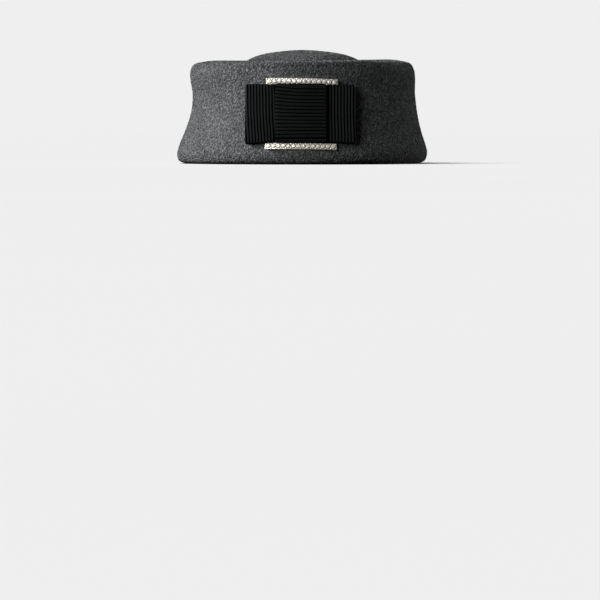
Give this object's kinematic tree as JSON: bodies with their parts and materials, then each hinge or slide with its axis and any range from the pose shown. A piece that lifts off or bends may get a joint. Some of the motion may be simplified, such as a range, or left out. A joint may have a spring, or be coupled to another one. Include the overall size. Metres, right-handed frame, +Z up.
{
  "type": "felt pillbox hat with a ribbon bow",
  "caption": "Felt pillbox hat with a domed tip, rolled rim, waisted side and turned hem, and a flat ribbon bow at the back between two bars of cut stones.",
  "frame": {"origin": "middle of the whole object's footprint, on the surface that the hem rests on", "axes": "+Z up through the tip, -Y to the back where the bow is, +X to the wearer's right seen from behind"},
  "size_m": [0.2118, 0.239, 0.0962],
  "materials": {
    "felt": "heathered dark grey wool felt, matt, with fine light and dark fibres",
    "ribbon": "black grosgrain ribbon with coarse crosswise ribs and a slight sheen",
    "bar_metal": "polished silver-coloured metal",
    "crystal": "clear cut glass with a silvered back"
  },
  "bodies": {
    "root": {"crown": "felt", "bow": "ribbon", "knot_band": "ribbon", "upper_bar": "bar_metal", "lower_bar": "bar_metal", "upper_stone_01": "crystal", "upper_stone_02": "crystal", "upper_stone_03": "crystal", "upper_stone_04": "crystal", "upper_stone_05": "crystal", "upper_stone_06": "crystal", "upper_stone_07": "crystal", "upper_stone_08": "crystal", "upper_stone_09": "crystal", "upper_stone_10": "crystal", "upper_stone_11": "crystal", "upper_stone_12": "crystal", "upper_stone_13": "crystal", "upper_stone_14": "crystal", "lower_stone_01": "crystal", "lower_stone_02": "crystal", "lower_stone_03": "crystal", "lower_stone_04": "crystal", "lower_stone_05": "crystal", "lower_stone_06": "crystal", "lower_stone_07": "crystal", "lower_stone_08": "crystal", "lower_stone_09": "crystal", "lower_stone_10": "crystal", "lower_stone_11": "crystal", "lower_stone_12": "crystal", "lower_stone_13": "crystal", "lower_stone_14": "crystal"}
  },
  "joints": []
}
